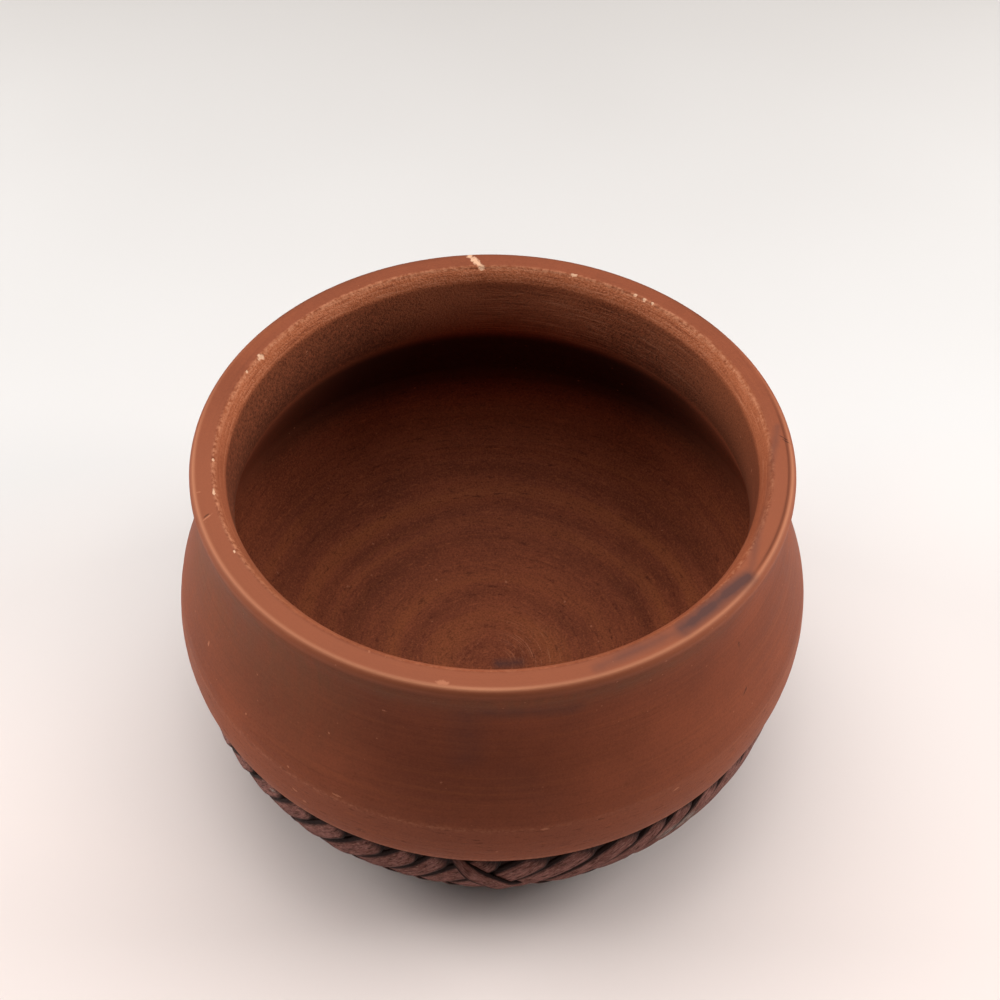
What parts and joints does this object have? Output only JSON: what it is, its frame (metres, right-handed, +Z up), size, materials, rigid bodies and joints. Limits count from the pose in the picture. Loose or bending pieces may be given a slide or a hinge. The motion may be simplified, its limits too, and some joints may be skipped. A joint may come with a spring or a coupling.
{
  "type": "pottery bowl",
  "caption": "Round wheel-thrown clay bowl with a flat burnished lip, a short neck, a full belly and a plaited band of flat fibre strips under the belly, for holding food or small things.",
  "frame": {"origin": "middle of the flat foot, on the surface that the bowl stands on", "axes": "+Z up along the axis on which the bowl was turned, -Y to the front, where the ends of the plait meet, +X to the right seen from the front"},
  "size_m": [0.134, 0.134, 0.078],
  "materials": {
    "fired_clay": "unglazed, burnished by hand to a dull satin",
    "plait_strip": "matt, fibrous, dark brown"
  },
  "bodies": {
    "root": {"clay_bowl": "fired_clay", "plait_strand_1": "plait_strip", "plait_strand_2": "plait_strip", "plait_strand_3": "plait_strip", "plait_strand_4": "plait_strip", "plait_strand_5": "plait_strip", "join_strip": "plait_strip"}
  },
  "joints": []
}
